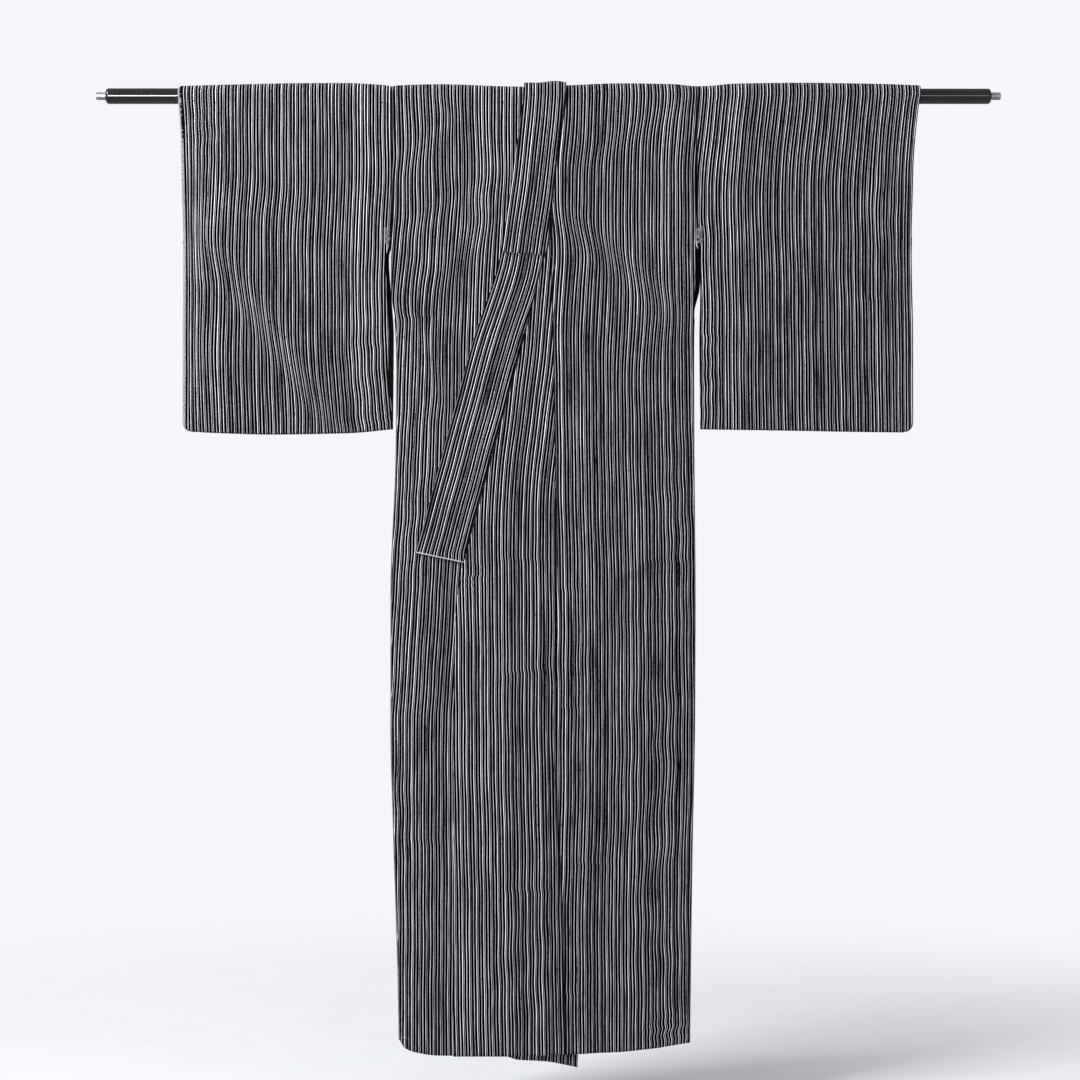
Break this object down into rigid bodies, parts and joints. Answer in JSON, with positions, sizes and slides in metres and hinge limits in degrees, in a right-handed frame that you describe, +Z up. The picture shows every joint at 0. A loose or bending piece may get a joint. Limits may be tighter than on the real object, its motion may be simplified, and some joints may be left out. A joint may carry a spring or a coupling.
{
  "type": "kimono on a hanging rod",
  "caption": "Striped kimono with open sleeves and crossed fronts, hung closed on a straight rod passed through both sleeves.",
  "frame": {"origin": "middle of the rod's axis, where the rod holds the garment up", "axes": "+X along the rod towards the wearer's left sleeve, -Y the garment's front, +Z up"},
  "size_m": [1.463, 0.0445, 1.5904],
  "materials": {
    "striped_cloth": "matt plain weave in fine black, grey and white warp stripes",
    "black_lacquer": "glossy black lacquer"
  },
  "bodies": {
    "root": {"body_panel_right": "striped_cloth", "body_panel_left": "striped_cloth", "okumi_right": "striped_cloth", "okumi_left": "striped_cloth", "sleeve_right": "striped_cloth", "sleeve_left": "striped_cloth", "collar_left": "striped_cloth", "collar_right": "striped_cloth", "overcollar": "striped_cloth", "rod": "black_lacquer"}
  },
  "joints": []
}
